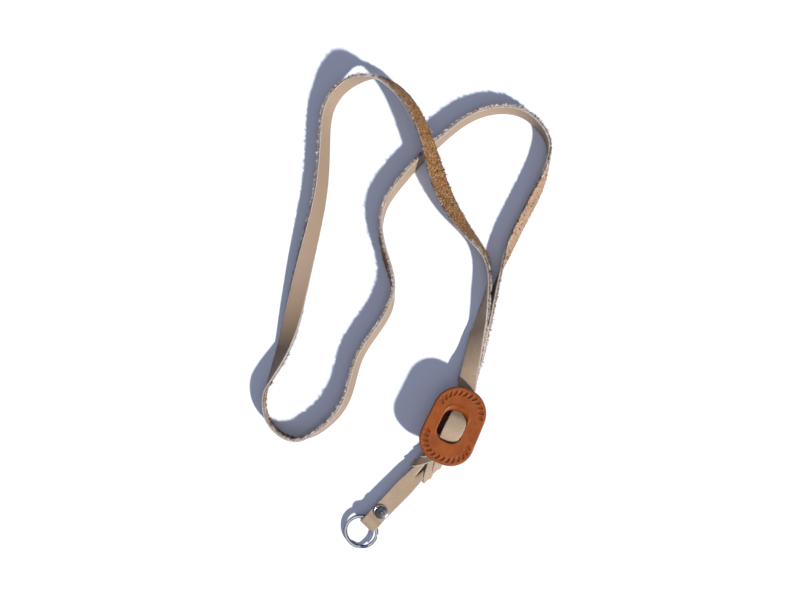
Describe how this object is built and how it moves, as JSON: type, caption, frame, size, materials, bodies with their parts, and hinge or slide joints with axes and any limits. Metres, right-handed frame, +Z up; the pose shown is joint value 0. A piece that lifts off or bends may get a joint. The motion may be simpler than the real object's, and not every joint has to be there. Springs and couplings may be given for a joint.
{
  "type": "neck strap",
  "caption": "Leather neck strap lying in a twisted loop, with a slider plate over its legs, a plaited join and a folded, riveted tab that carries a split ring.",
  "frame": {"origin": "middle of the outline's box, on the table", "axes": "+Y along the longest extent, away from the ring, +Z up from the table"},
  "size_m": [0.1656, 0.2706, 0.0206],
  "materials": {
    "strap_leather": "natural vegetable-tanned leather, matt grain and a fuzzy flesh side",
    "slider_leather": "saddle brown, smooth, burnished edges",
    "rivet_metal": "dark nickel with a bright rim",
    "ring_steel": "polished steel"
  },
  "bodies": {
    "strap": {"neck_strap": "strap_leather", "slider": "slider_leather", "plait": "strap_leather", "ring_tab": "strap_leather", "rivet": "rivet_metal"},
    "ring": {"split_ring": "ring_steel"}
  },
  "joints": [
    {"name": "ring_swing", "type": "hinge", "parent": "strap", "child": "ring", "pos_m": [-0.02032, -0.11939, 0.0041], "axis": [-0.7193, 0.6947, 0], "range_deg": [-155, 172]}
  ]
}
